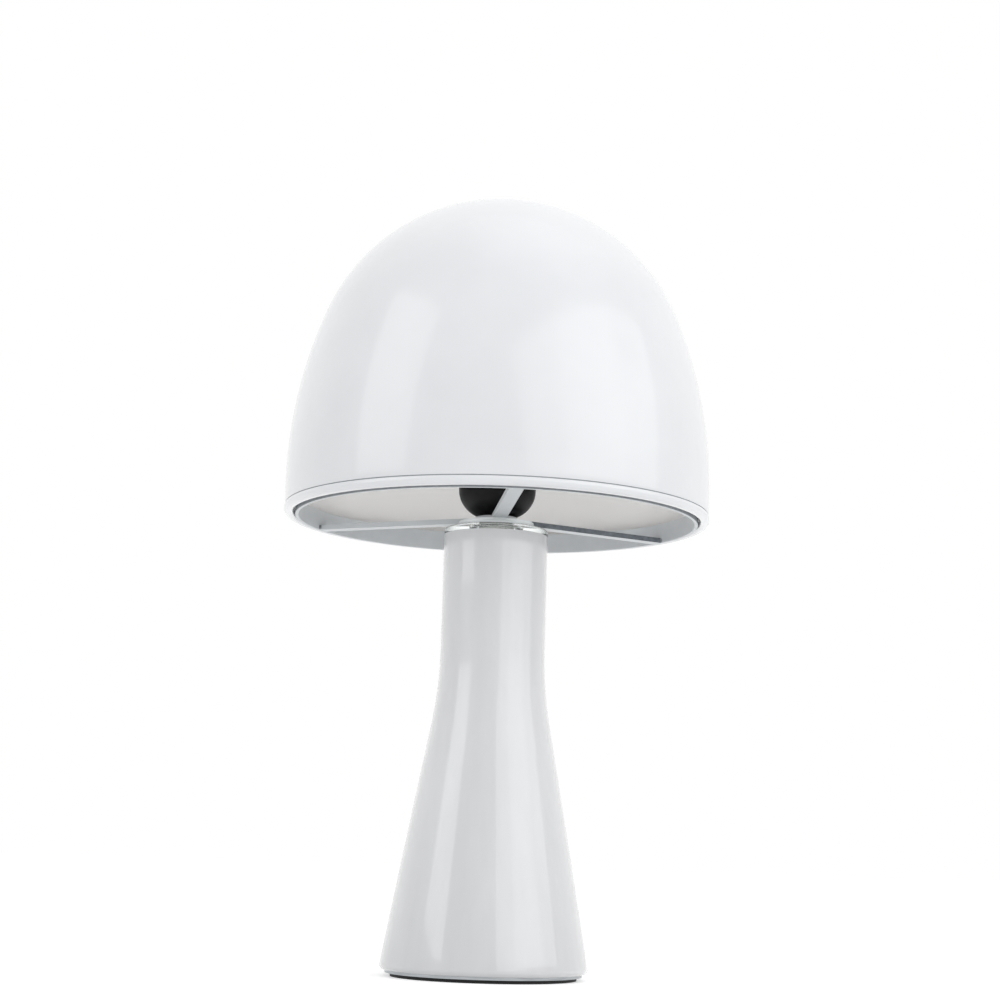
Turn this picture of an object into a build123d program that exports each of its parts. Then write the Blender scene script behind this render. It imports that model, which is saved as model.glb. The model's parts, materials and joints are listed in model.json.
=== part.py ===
from build123d import *
import os
from math import asin, cos, degrees, pi, radians, sin, sqrt, tan

os.makedirs("parts", exist_ok=True)

# Mushroom table lamp. Millimetres, +Z up, origin on the table under the lamp's axis.
# The front of the lamp faces -Y; the cable inlet is at the back, on the +Y side.

# ---- shade: spun steel dome with a wired bead ----
SHADE_R = 125.0          # outer radius over the bead
SHADE_RISE = 190.0       # centre of the bead to the crown
SHADE_WALL = 1.2
CROWN_R = 113.0          # radius of the crown's arc
SHOULDER_ANGLE = 67.8    # degrees of crown before the side arc takes over
BEAD_R = 3.1
BEAD_PROUD = 0.75        # how far the bead stands outside the wall
CREASE_R = 0.4           # fine groove between wall and bead
RIM_Z = 265.0            # centre of the bead above the table

# ---- carrier: hoop, three arms and hub ----
HOOP_GAP = 0.6           # gap between bead and hoop
HOOP_WALL = 2.0
HOOP_H = 12.0
CARRIER_DROP = 3.6       # underside of hoop and arms below the bead's centre
ARM_W = 8.0
ARM_T = 3.0
ARM_ANGLES = (-85.0, 31.0, 156.0)    # directions of the hand-set arms, degrees from +X
ARM_END_GAP = 0.1        # arm end to hoop, filled by the weld
EDGE_R = 0.4             # eased edges of sheet, band and cut glass
HUB_R = 12.5
HUB_PLATE_R = 22.0
HUB_PLATE_T = 1.5
WELD_ANGLES = (-153.0, -27.0, 90.0)  # middles of the tack welds between bead and hoop
WELD_ARC = 5.0           # degrees of hoop that each tack weld covers
WELD_H = 2.4

# ---- stem: opal glass with a clear top ----
NECK_R = 30.5
NECK_LENGTH = 68.4       # straight part below the opal's top
BEND_R = 230.0           # soft bend between neck and cone
CONE_ANGLE = 10.0        # slope of the flared foot, degrees from the axis
GLASS_WALL = 5.0
CLEAR_T = 4.0            # clear glass above the opal
CLEAR_EDGE_R = 1.6
FUSE_GAP = 0.05          # line between clear and opal glass
FOOT_EDGE_R = 3.0
HUB_TO_CLEAR = 2.4       # air between clear top and hub plate

# ---- central tube and what clamps on it ----
TUBE_R = 5.0             # M10 x 1 tube
TUBE_WALL = 1.1
TUBE_FIT = 0.3           # radial room in the plates that the tube passes
TUBE_CHAMFER = 0.5
TUBE_FOOT_Z = 3.0        # lower end of the tube above the table
THREAD_FIT = 0.02        # radial play in a thread
SLEEVE_R = 10.0
SLEEVE_FIT = 0.4
GASKET_T = 0.8
TUBE_IN_HOLDER = 9.0     # length of tube inside the lampholder
CABLE_WINDOW_H = 12.0
CABLE_WINDOW_W = 5.0

# ---- foot: pad, plate, ballast and nut ----
PAD_T = 2.0
PAD_INSET = 3.0
PLATE_T = 1.5
DISH_R = 17.5            # raised centre of the bottom plate
DISH_H = 8.5
SPIGOT_H = 4.0           # ring that centres the glass on the plate
SPIGOT_FIT = 0.3
BALLAST_H = 14.0
BALLAST_EDGE = 2.5       # room that the ballast leaves at the spigot
BALLAST_ROUND = 1.0
CHANNEL_W = 11.0         # groove in the ballast for the cable
CHANNEL_H = 7.0
WASHER_R = 12.0
WASHER_T = 1.5
SPRING_T = 2.0
SPRING_R = 8.6
SPLIT_W = 1.2            # slanting cut through the spring washer
SPLIT_ANGLE = 25.0
NUT_FLATS = 17.0
NUT_H = 5.0
NUT_CHAMFER = 1.0

# ---- cable inlet at the back of the foot ----
INLET_Z = 26.0
INLET_HOLE_R = 5.2
INLET_BORE_R = 3.6
INLET_FLANGE_R = 7.6
INLET_FLANGE_T = 1.6
INLET_FIT = 0.1
INLET_SADDLE = 1.0       # back of the flange, shaped to the cone
INLET_PAST_WALL = 1.0    # barrel inside the stem, past the glass

# ---- lampholder, E27 ----
HOLDER_R = 22.7
HOLDER_WALL = 2.0
HOLDER_CORNER = 16.7     # radius between the cap's flat base and its side
CAP_COLLAR = 6.4         # straight side above the corner
BOSS_R = 9.0
BOSS_PAST_TUBE = 1.0     # boss above the tube's end
GRUB_DROP = 3.0          # locking screw below the boss's top
GRUB_R = 1.5
DRIVER_SLOT_W = 0.6
DRIVER_SLOT_H = 0.8
SKIRT_H = 33.0
SKIRT_TOP_R = 20.2
SKIRT_STEP = 0.5
SKIRT_COLLAR = 6.0       # straight side before the taper
SKIRT_EDGE_R = 1.0
SPIGOT_DEPTH = 5.0
HOLDER_FIT = 0.15
INSERT_T = 8.0
SHELL_R = 13.6           # inside radius of the screw shell
SHELL_WALL = 0.4
SHELL_H = 25.0
SHELL_FLANGE = 2.5
LIP_ROOM = 0.6
TERMINAL_X = 9.5
TERMINAL_R = 1.9
TERMINAL_L = 6.0
TERMINAL_FIT = 0.1
GROOVE_W = 5.7           # wire groove across the insert's underside
GROOVE_H = 2.7
LEAF_T = 0.5             # centre contact's spring leaf
LEAF_FOOT = 2.0
LEAF_GAP = 0.1           # leaf to the bulb's tip

# ---- bulb, E27, pear shaped ----
BULB_LIFT = 1.8          # contact's tip above the insert
BULB_CAP_R = 13.2
BULB_CAP_H = 20.0
BULB_CAP_WALL = 0.5
TIP_R = 4.8
TIP_T = 1.4
INSULATOR_LIP = 1.5      # black glass outside the tip
CAP_BEVEL = 2.0          # bevel at the foot of the screw cap
CONE_H = 4.0
GLOBE_R = 30.0
GLOBE_WALL = 1.0
BULB_LENGTH = 105.0
GLOBE_NECK_R = 13.6
GLOBE_NECK_H = 4.0
GLOBE_SHOULDER = 35.0    # degrees of ball below its equator

# ---- heights and radii that follow from the sizes above ----
bead_x = SHADE_R - BEAD_R
wall_r = SHADE_R - BEAD_PROUD
crown_z = RIM_Z + SHADE_RISE
carrier_z = RIM_Z - CARRIER_DROP
hoop_out_r = SHADE_R - 2 * BEAD_R - HOOP_GAP
hoop_in_r = hoop_out_r - HOOP_WALL
arms_top = carrier_z + ARM_T
plate_under = carrier_z - HUB_PLATE_T
clear_top_z = plate_under - HUB_TO_CLEAR
opal_top = clear_top_z - CLEAR_T
glass_foot = PAD_T + PLATE_T
slope = radians(CONE_ANGLE)
bend_z = opal_top - NECK_LENGTH
cone_z = bend_z - BEND_R * sin(slope)
cone_r = NECK_R + BEND_R * (1 - cos(slope))
foot_r = cone_r + (cone_z - glass_foot) * tan(slope)
inner_foot_r = foot_r - GLASS_WALL / cos(slope)
tube_hole_r = TUBE_R + TUBE_FIT
dish_top = PAD_T + DISH_H + PLATE_T
ballast_r = inner_foot_r - SPIGOT_FIT - BALLAST_EDGE - BALLAST_H * tan(slope)
washer_z = dish_top - PLATE_T - WASHER_T
spring_z = washer_z - SPRING_T
nut_z = spring_z - NUT_H
tube_top = arms_top + TUBE_IN_HOLDER
boss_top = tube_top + BOSS_PAST_TUBE
grub_z = boss_top - GRUB_DROP
corner_z = arms_top + HOLDER_CORNER
cap_top = corner_z + CAP_COLLAR
insert_z = cap_top - SPIGOT_DEPTH
insert_top = insert_z + INSERT_T
skirt_top = cap_top + SKIRT_H
tip_z = insert_top + BULB_LIFT
screw_z = tip_z + TIP_T + CONE_H
screw_top = screw_z + BULB_CAP_H
globe_top = tip_z + BULB_LENGTH


def radial_plane(angle):
    """Upright plane through the lamp's axis: local x points outwards, local y up."""
    a = radians(angle)
    return Plane(origin=(0, 0, 0), x_dir=(cos(a), sin(a), 0), z_dir=(sin(a), -cos(a), 0))


# ================= shade and its carrier =================

with BuildPart() as shade:
    with BuildSketch(Plane.XZ):
        with BuildLine():
            arc_z = crown_z - CROWN_R
            outer = CenterArc((0, arc_z), CROWN_R, 90, -SHOULDER_ANGLE)
            side = TangentArc(outer @ 1, (wall_r, RIM_Z), tangent=outer % 1)
            inner = CenterArc((0, arc_z), CROWN_R - SHADE_WALL, 90, -SHOULDER_ANGLE)
            inner_side = TangentArc(inner @ 1, (wall_r - SHADE_WALL, RIM_Z), tangent=inner % 1)
            Line(outer @ 0, inner @ 0)
            Line(side @ 1, inner_side @ 1)
        make_face()
        with Locations((bead_x, RIM_Z)):
            Circle(BEAD_R)
        # the groove lies where the wall runs into the bead
        crease_x = wall_r - bead_x
        with Locations((wall_r, RIM_Z + sqrt(BEAD_R ** 2 - crease_x ** 2))):
            Circle(CREASE_R, mode=Mode.SUBTRACT)
    revolve(axis=Axis.Z)
shade.part.label = "shade"
export_step(shade.part, "parts/shade.step")

with BuildPart() as carrier_hoop:
    with BuildSketch(Plane.XY.offset(carrier_z)):
        Circle(hoop_out_r)
        Circle(hoop_in_r, mode=Mode.SUBTRACT)
    extrude(amount=HOOP_H)
    fillet(carrier_hoop.edges().filter_by(GeomType.CIRCLE), EDGE_R)
carrier_hoop.part.label = "carrier_hoop"
export_step(carrier_hoop.part, "parts/carrier_hoop.step")

with BuildPart() as tack_welds:
    for angle in WELD_ANGLES:
        with BuildSketch(radial_plane(angle - WELD_ARC / 2)):
            with Locations((hoop_out_r, RIM_Z)):
                Rectangle(HOOP_GAP + BEAD_R / 2, WELD_H, align=(Align.MIN, Align.CENTER))
            with Locations((bead_x, RIM_Z)):
                Circle(BEAD_R, mode=Mode.SUBTRACT)
        revolve(axis=Axis.Z, revolution_arc=WELD_ARC)
tack_welds.part.label = "tack_welds"
export_step(tack_welds.part, "parts/tack_welds.step")

with BuildPart() as carrier_arms:
    with BuildSketch(Plane.XY.offset(carrier_z)):
        Circle(HUB_R)
        for angle in ARM_ANGLES:
            with PolarLocations(0, 1, start_angle=angle):
                Rectangle(hoop_in_r, ARM_W, align=(Align.MIN, Align.CENTER))
        Circle(hoop_in_r - ARM_END_GAP, mode=Mode.INTERSECT)
        Circle(tube_hole_r, mode=Mode.SUBTRACT)
    extrude(amount=ARM_T)
carrier_arms.part.label = "carrier_arms"
export_step(carrier_arms.part, "parts/carrier_arms.step")

with BuildPart() as hub_plate:
    with BuildSketch(Plane.XY.offset(plate_under)):
        Circle(HUB_PLATE_R)
        Circle(tube_hole_r, mode=Mode.SUBTRACT)
    extrude(amount=HUB_PLATE_T)
    fillet(hub_plate.edges().group_by(Axis.Z)[0].sort_by(SortBy.RADIUS)[-1], EDGE_R)
hub_plate.part.label = "hub_plate"
export_step(hub_plate.part, "parts/hub_plate.step")

# ================= stem =================


def stem_outline(offset_in, top):
    """Half section of the stem's outside, or of a surface parallel to it, as a face."""
    neck = NECK_R - offset_in
    bend = BEND_R + offset_in
    foot = foot_r - offset_in / cos(slope)
    with BuildSketch(Plane.XZ) as outline:
        with BuildLine():
            wall = Line((neck, top), (neck, bend_z))
            flare = JernArc(wall @ 1, wall % 1, bend, CONE_ANGLE)
            cone = Line(flare @ 1, (foot, glass_foot))
            Polyline(cone @ 1, (0, glass_foot), (0, top), wall @ 0)
        make_face()
    return outline.sketch


with BuildPart() as stem_form:
    add(stem_outline(0, opal_top))
    revolve(axis=Axis.Z)
    fillet(stem_form.edges().group_by(Axis.Z)[0], FOOT_EDGE_R)

# the inlet stands square to the cone
inlet_y = cone_r + (cone_z - INLET_Z) * tan(slope)
inlet_plane = Plane(
    origin=(0, inlet_y, INLET_Z), x_dir=(1, 0, 0), z_dir=(0, cos(slope), sin(slope))
)

with BuildPart() as stem_glass:
    add(stem_form.part)
    add(stem_outline(GLASS_WALL, opal_top - GLASS_WALL))
    revolve(axis=Axis.Z, mode=Mode.SUBTRACT)
    with BuildSketch(Plane.XY.offset(opal_top)):
        Circle(tube_hole_r)
    extrude(amount=-2 * GLASS_WALL, mode=Mode.SUBTRACT)
    with BuildSketch(inlet_plane):
        Circle(INLET_HOLE_R)
    extrude(amount=2 * GLASS_WALL, both=True, mode=Mode.SUBTRACT)
stem_glass.part.label = "stem_glass"
export_step(stem_glass.part, "parts/stem_glass.step")

with BuildPart() as clear_top:
    with BuildSketch(Plane.XY.offset(opal_top + FUSE_GAP)):
        Circle(NECK_R)
        Circle(SLEEVE_R + SLEEVE_FIT, mode=Mode.SUBTRACT)
    extrude(amount=CLEAR_T - FUSE_GAP)
    fillet(clear_top.edges().group_by(Axis.Z)[-1].sort_by(SortBy.RADIUS)[-1], CLEAR_EDGE_R)
    fillet(clear_top.edges().group_by(Axis.Z)[-1].sort_by(SortBy.RADIUS)[0], EDGE_R)
clear_top.part.label = "clear_top"
export_step(clear_top.part, "parts/clear_top.step")

with BuildPart() as neck_gasket:
    with BuildSketch(Plane.XY.offset(opal_top)):
        Circle(SLEEVE_R)
        Circle(tube_hole_r, mode=Mode.SUBTRACT)
    extrude(amount=GASKET_T)
neck_gasket.part.label = "neck_gasket"
export_step(neck_gasket.part, "parts/neck_gasket.step")

with BuildPart() as hub_sleeve:
    with BuildSketch(Plane.XY.offset(opal_top + GASKET_T)):
        Circle(SLEEVE_R)
        Circle(tube_hole_r, mode=Mode.SUBTRACT)
    extrude(until=Until.NEXT, target=hub_plate.part)
    chamfer(hub_sleeve.edges().group_by(Axis.Z)[-1].sort_by(SortBy.RADIUS)[-1], EDGE_R)
hub_sleeve.part.label = "hub_sleeve"
export_step(hub_sleeve.part, "parts/hub_sleeve.step")

with BuildPart() as threaded_tube:
    with BuildSketch(Plane.XY.offset(TUBE_FOOT_Z)):
        Circle(TUBE_R)
        Circle(TUBE_R - TUBE_WALL, mode=Mode.SUBTRACT)
    extrude(amount=tube_top - TUBE_FOOT_Z)
    ends = threaded_tube.edges().filter_by(GeomType.CIRCLE)
    chamfer(ends.filter_by(lambda e: e.radius > TUBE_R - TUBE_WALL / 2), TUBE_CHAMFER)
    # window for the cable, facing the inlet
    with BuildSketch(Plane.XZ.offset(-2 * TUBE_R)):
        with Locations((0, INLET_Z + CABLE_WINDOW_H / 4)):
            SlotOverall(CABLE_WINDOW_H, CABLE_WINDOW_W, rotation=90)
    extrude(amount=2 * TUBE_R, mode=Mode.SUBTRACT)
threaded_tube.part.label = "threaded_tube"
export_step(threaded_tube.part, "parts/threaded_tube.step")

# ================= foot =================

with BuildPart() as foot_pad:
    with BuildSketch():
        Circle(foot_r - FOOT_EDGE_R - PAD_INSET)
        Circle(DISH_R, mode=Mode.SUBTRACT)
    extrude(amount=PAD_T)
foot_pad.part.label = "foot_pad"
export_step(foot_pad.part, "parts/foot_pad.step")

with BuildPart() as bottom_plate:
    with BuildSketch(Plane.XZ):
        with BuildLine():
            rim_r = foot_r - FOOT_EDGE_R
            spigot_r = inner_foot_r - SPIGOT_FIT - SPIGOT_H * tan(slope)
            Polyline(
                (rim_r, PAD_T), (rim_r, glass_foot), (spigot_r, glass_foot),
                (spigot_r, glass_foot + SPIGOT_H), (spigot_r - PLATE_T, glass_foot + SPIGOT_H),
                (spigot_r - PLATE_T, glass_foot), (DISH_R, glass_foot), (DISH_R, dish_top),
                (tube_hole_r, dish_top), (tube_hole_r, dish_top - PLATE_T),
                (DISH_R - PLATE_T, dish_top - PLATE_T), (DISH_R - PLATE_T, PAD_T), (rim_r, PAD_T),
            )
        make_face()
    revolve(axis=Axis.Z)
bottom_plate.part.label = "bottom_plate"
export_step(bottom_plate.part, "parts/bottom_plate.step")

with BuildPart() as ballast:
    with BuildSketch(Plane.XY.offset(glass_foot)):
        Circle(ballast_r)
        Circle(DISH_R + SPIGOT_FIT, mode=Mode.SUBTRACT)
    extrude(amount=BALLAST_H)
    # channel that lets the cable pass from the inlet to the tube
    with BuildSketch(Plane.XY.offset(glass_foot + BALLAST_H)):
        Rectangle(CHANNEL_W, ballast_r + CHANNEL_W, align=(Align.CENTER, Align.MIN))
    extrude(amount=-CHANNEL_H, mode=Mode.SUBTRACT)
    fillet(ballast.edges().filter_by(GeomType.CIRCLE).group_by(Axis.Z)[-1], BALLAST_ROUND)
ballast.part.label = "ballast"
export_step(ballast.part, "parts/ballast.step")

with BuildPart() as base_washer:
    with BuildSketch(Plane.XY.offset(washer_z)):
        Circle(WASHER_R)
        Circle(tube_hole_r, mode=Mode.SUBTRACT)
    extrude(amount=WASHER_T)
base_washer.part.label = "base_washer"
export_step(base_washer.part, "parts/base_washer.step")

with BuildPart() as spring_washer:
    with BuildSketch(Plane.XY.offset(spring_z)):
        Circle(SPRING_R)
        Circle(tube_hole_r, mode=Mode.SUBTRACT)
        with Locations((SPRING_R, 0)):
            Rectangle(SPRING_R, SPLIT_W, rotation=SPLIT_ANGLE, mode=Mode.SUBTRACT)
    extrude(amount=SPRING_T)
spring_washer.part.label = "spring_washer"
export_step(spring_washer.part, "parts/spring_washer.step")

with BuildPart() as tube_nut:
    with BuildSketch(Plane.XY.offset(nut_z)):
        RegularPolygon(NUT_FLATS / 2, 6, major_radius=False)
    extrude(amount=NUT_H)
    with BuildSketch(Plane.XZ):
        with BuildLine():
            corner = NUT_FLATS / 2 / cos(pi / 6)
            flat_r = NUT_FLATS / 2
            Polyline(
                (0, nut_z), (flat_r, nut_z), (corner, nut_z + NUT_CHAMFER),
                (corner, spring_z - NUT_CHAMFER), (flat_r, spring_z), (0, spring_z), (0, nut_z),
            )
        make_face()
    revolve(axis=Axis.Z, mode=Mode.INTERSECT)
    with BuildSketch(Plane.XY.offset(nut_z)):
        Circle(TUBE_R + THREAD_FIT)
    extrude(amount=NUT_H, mode=Mode.SUBTRACT)
tube_nut.part.label = "tube_nut"
export_step(tube_nut.part, "parts/tube_nut.step")

with BuildPart() as cable_inlet:
    with BuildSketch(inlet_plane):
        Circle(INLET_FLANGE_R)
    extrude(amount=INLET_FLANGE_T)
    fillet(cable_inlet.edges().group_by(Axis.Y)[-1], INLET_FLANGE_T / 2)
    with BuildSketch(inlet_plane):
        Circle(INLET_FLANGE_R)
    extrude(amount=-INLET_SADDLE)
    add(stem_form.part, mode=Mode.SUBTRACT)
    with BuildSketch(inlet_plane):
        Circle(INLET_HOLE_R - INLET_FIT)
    extrude(amount=-GLASS_WALL - INLET_PAST_WALL)
    with BuildSketch(inlet_plane):
        Circle(INLET_BORE_R)
    extrude(amount=2 * GLASS_WALL, both=True, mode=Mode.SUBTRACT)
cable_inlet.part.label = "cable_inlet"
export_step(cable_inlet.part, "parts/cable_inlet.step")

# ================= lampholder =================

with BuildPart() as holder_cap:
    with BuildSketch(Plane.XZ):
        with BuildLine():
            base_r = HOLDER_R - HOLDER_CORNER
            bore_r = HOLDER_R - HOLDER_WALL
            bore_corner = HOLDER_CORNER - HOLDER_WALL
            boss_lean = degrees(asin((BOSS_R - base_r) / bore_corner))
            thread_r = TUBE_R + THREAD_FIT
            corner = CenterArc((base_r, corner_z), HOLDER_CORNER, -90, 90)
            hollow = CenterArc((base_r, corner_z), bore_corner, -90 + boss_lean, 90 - boss_lean)
            Polyline(corner @ 1, (HOLDER_R, cap_top), (bore_r, cap_top), hollow @ 1)
            Polyline(
                hollow @ 0, (BOSS_R, boss_top), (thread_r, boss_top), (thread_r, arms_top), corner @ 0
            )
        make_face()
    revolve(axis=Axis.Z)
    # hole for the screw that locks the cap on the tube
    with BuildSketch(Plane.XZ):
        with Locations((0, grub_z)):
            Circle(GRUB_R + THREAD_FIT)
    extrude(amount=BOSS_R + HOLDER_WALL, mode=Mode.SUBTRACT)
holder_cap.part.label = "holder_cap"
export_step(holder_cap.part, "parts/holder_cap.step")

with BuildPart() as cap_grub_screw:
    with BuildSketch(Plane.XZ.offset(TUBE_R + THREAD_FIT)):
        with Locations((0, grub_z)):
            Circle(GRUB_R)
    extrude(amount=BOSS_R - TUBE_R)
    with BuildSketch(Plane.XZ.offset(BOSS_R + THREAD_FIT)):
        with Locations((0, grub_z)):
            Rectangle(2 * GRUB_R, DRIVER_SLOT_W)
    extrude(amount=-DRIVER_SLOT_H, mode=Mode.SUBTRACT)
cap_grub_screw.part.label = "cap_grub_screw"
export_step(cap_grub_screw.part, "parts/cap_grub_screw.step")

spigot_out = HOLDER_R - HOLDER_WALL - HOLDER_FIT
spigot_in = spigot_out - HOLDER_WALL
with BuildPart() as holder_skirt:
    with BuildSketch(Plane.XZ):
        with BuildLine():
            foot_x = HOLDER_R - SKIRT_STEP
            mouth_r = SHELL_R + SHELL_WALL + LIP_ROOM
            taper_z = cap_top + SKIRT_COLLAR
            Polyline(
                (spigot_in, insert_z), (spigot_out, insert_z), (spigot_out, cap_top),
                (foot_x, cap_top), (foot_x, taper_z), (SKIRT_TOP_R, skirt_top),
                (mouth_r, skirt_top), (mouth_r, skirt_top - HOLDER_WALL),
                (SKIRT_TOP_R - HOLDER_WALL, skirt_top - HOLDER_WALL),
                (spigot_in, taper_z), (spigot_in, insert_z),
            )
        make_face()
    revolve(axis=Axis.Z)
    fillet(holder_skirt.edges().group_by(Axis.Z)[-1].sort_by(SortBy.RADIUS)[-1], SKIRT_EDGE_R)
holder_skirt.part.label = "holder_skirt"
export_step(holder_skirt.part, "parts/holder_skirt.step")

with BuildPart() as holder_insert:
    with BuildSketch(Plane.XY.offset(insert_z)):
        Circle(spigot_in - HOLDER_FIT)
        with Locations((-TERMINAL_X, 0), (TERMINAL_X, 0)):
            Circle(TERMINAL_R, mode=Mode.SUBTRACT)
    extrude(amount=INSERT_T)
    with BuildSketch(Plane.XY.offset(insert_z)):
        Rectangle(GROOVE_W, 2 * spigot_in)
    extrude(amount=GROOVE_H, mode=Mode.SUBTRACT)
holder_insert.part.label = "holder_insert"
export_step(holder_insert.part, "parts/holder_insert.step")

with BuildPart() as terminal_screws:
    with BuildSketch(Plane.XY.offset(insert_z)):
        with Locations((-TERMINAL_X, 0), (TERMINAL_X, 0)):
            Circle(TERMINAL_R - TERMINAL_FIT)
    extrude(amount=TERMINAL_L)
    with BuildSketch(Plane.XY.offset(insert_z)):
        with Locations((-TERMINAL_X, 0), (TERMINAL_X, 0)):
            Rectangle(2 * TERMINAL_R, DRIVER_SLOT_W)
    extrude(amount=DRIVER_SLOT_H, mode=Mode.SUBTRACT)
terminal_screws.part.label = "terminal_screws"
export_step(terminal_screws.part, "parts/terminal_screws.step")

with BuildPart() as screw_shell:
    with BuildSketch(Plane.XZ):
        with BuildLine():
            shell_out = SHELL_R + SHELL_WALL
            base_in = SHELL_R - SHELL_FLANGE
            Polyline(
                (base_in, insert_top), (shell_out, insert_top), (shell_out, insert_top + SHELL_H),
                (SHELL_R, insert_top + SHELL_H), (SHELL_R, insert_top + SHELL_WALL),
                (base_in, insert_top + SHELL_WALL), (base_in, insert_top),
            )
        make_face()
    revolve(axis=Axis.Z)
screw_shell.part.label = "screw_shell"
export_step(screw_shell.part, "parts/screw_shell.step")

with BuildPart() as centre_contact:
    with BuildSketch(Plane.XZ):
        with BuildLine():
            half = TIP_R / 2
            left = -TIP_R - LEAF_FOOT
            high = tip_z - LEAF_GAP
            Polyline(
                (left, insert_top), (left, insert_top + LEAF_T), (-half - LEAF_T, insert_top + LEAF_T),
                (-half, high), (half, high), (half, high - LEAF_T), (LEAF_T - half, high - LEAF_T),
                (-half, insert_top), (left, insert_top),
            )
        make_face()
    extrude(amount=half, both=True)
centre_contact.part.label = "centre_contact"
export_step(centre_contact.part, "parts/centre_contact.step")

# ================= bulb =================

with BuildPart() as bulb_tip:
    with BuildSketch(Plane.XY.offset(tip_z)):
        Circle(TIP_R)
    extrude(amount=TIP_T)
    fillet(bulb_tip.edges().group_by(Axis.Z)[0], TIP_T / 2)
bulb_tip.part.label = "bulb_tip"
export_step(bulb_tip.part, "parts/bulb_tip.step")

with BuildPart() as bulb_insulator:
    with BuildSketch(Plane.XZ):
        with BuildLine():
            Polyline(
                (0, tip_z + TIP_T), (TIP_R + INSULATOR_LIP, tip_z + TIP_T),
                (BULB_CAP_R - CAP_BEVEL, screw_z), (0, screw_z), (0, tip_z + TIP_T),
            )
        make_face()
    revolve(axis=Axis.Z)
bulb_insulator.part.label = "bulb_insulator"
export_step(bulb_insulator.part, "parts/bulb_insulator.step")

with BuildPart() as bulb_cap:
    with BuildSketch(Plane.XZ):
        with BuildLine():
            hollow_r = BULB_CAP_R - BULB_CAP_WALL
            hollow_z = screw_z + CAP_BEVEL + BULB_CAP_WALL
            Polyline(
                (0, screw_z), (BULB_CAP_R - CAP_BEVEL, screw_z), (BULB_CAP_R, screw_z + CAP_BEVEL),
                (BULB_CAP_R, screw_top), (hollow_r, screw_top), (hollow_r, hollow_z), (0, hollow_z),
                (0, screw_z),
            )
        make_face()
    revolve(axis=Axis.Z)
bulb_cap.part.label = "bulb_cap"
export_step(bulb_cap.part, "parts/bulb_cap.step")

with BuildPart() as bulb_globe:
    with BuildSketch(Plane.XZ):
        with BuildLine():
            centre_z = globe_top - GLOBE_R
            neck_z = screw_top + GLOBE_NECK_H
            crown = CenterArc((0, centre_z), GLOBE_R, 90, -90 - GLOBE_SHOULDER)
            swell = Spline(crown @ 1, (GLOBE_NECK_R, neck_z), tangents=(crown % 1, (0, -1)))
            Polyline(swell @ 1, (GLOBE_NECK_R, screw_top), (0, screw_top), crown @ 0)
        make_face()
    revolve(axis=Axis.Z)
    offset(amount=-GLOBE_WALL, openings=bulb_globe.faces().sort_by(Axis.Z)[0])
bulb_globe.part.label = "bulb_globe"
export_step(bulb_globe.part, "parts/bulb_globe.step")
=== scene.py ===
import json
import math

import bmesh
import bpy
from mathutils import Matrix, Vector


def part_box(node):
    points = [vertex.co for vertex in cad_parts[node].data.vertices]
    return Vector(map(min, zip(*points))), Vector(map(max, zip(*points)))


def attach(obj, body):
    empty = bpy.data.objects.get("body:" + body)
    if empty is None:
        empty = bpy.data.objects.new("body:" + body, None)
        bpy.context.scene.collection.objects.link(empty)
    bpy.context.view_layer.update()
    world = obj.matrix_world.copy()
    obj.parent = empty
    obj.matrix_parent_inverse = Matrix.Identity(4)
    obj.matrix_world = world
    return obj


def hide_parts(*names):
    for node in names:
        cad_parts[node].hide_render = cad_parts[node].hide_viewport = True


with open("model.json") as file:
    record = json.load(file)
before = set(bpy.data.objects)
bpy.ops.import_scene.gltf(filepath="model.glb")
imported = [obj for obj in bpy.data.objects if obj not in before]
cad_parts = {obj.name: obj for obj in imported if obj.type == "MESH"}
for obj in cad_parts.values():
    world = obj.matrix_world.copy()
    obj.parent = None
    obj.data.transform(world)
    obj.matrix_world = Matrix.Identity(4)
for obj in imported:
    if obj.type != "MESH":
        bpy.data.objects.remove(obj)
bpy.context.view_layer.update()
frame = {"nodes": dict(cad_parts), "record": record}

MM = 0.001

# ---- sizes in millimetres; a feature that the CAD model has too is the same size there, unless
# its line says otherwise ----
RIM_Z = 265.0            # centre of the bead above the table
SHADE_R = 125.0          # outer radius over the bead
SHADE_RISE = 190.0       # centre of the bead to the crown
SHADE_WALL = 1.2
CROWN_R = 113.0          # radius of the crown's arc
SHOULDER_ANGLE = 67.8    # degrees of crown before the side arc takes over
BEAD_R = 3.1
BEAD_PROUD = 0.75        # how far the bead stands outside the wall
CREASE_R = 0.4           # fine groove between wall and bead
CREASE_SWEEP = 150.0     # degrees of the groove's arc
WALL_END = BEAD_R * 0.9  # the dome's outside ends this far above the bead's centre
LINING_END = BEAD_R * 1.02    # its inside ends this far above it, where the roll closes on the wall
HOOP_GAP = 0.6           # gap between bead and hoop
HOOP_WALL = 2.0
HOOP_R = SHADE_R - 2 * BEAD_R - HOOP_GAP
EDGE_R = 0.4             # eased edges of band and cut glass
NECK_R = 30.5
NECK_LENGTH = 68.4       # straight part below the opal's top
BEND_R = 230.0           # soft bend between neck and cone
CONE_ANGLE = 10.0        # slope of the flared foot, degrees from the axis
GLASS_WALL = 5.0
GASKET_RING = 4.7        # width of the gasket's ring, which ends at the hole in the opal's top
SLEEVE_FIT = 0.4         # room round the sleeve in the clear glass
CLEAR_EDGE_R = 1.6
FOOT_EDGE_R = 3.0
HOLDER_R = 22.7
HOLDER_CORNER = 16.7     # radius between the cap's flat base and its side
HOLDER_WALL = 2.0
HOLDER_EDGE = 0.4        # bevel on the cap's upper edge
BOSS_R = 9.0
THREAD_R = 5.02          # inside the cap's thread, over the tube
BOSS_PAST_TUBE = 1.0     # boss above the tube's end
GRUB_R = 1.52            # hole for the locking screw
GRUB_Z = 271.4
INLET_Z = 26.0
INLET_HOLE_R = 5.2
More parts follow.
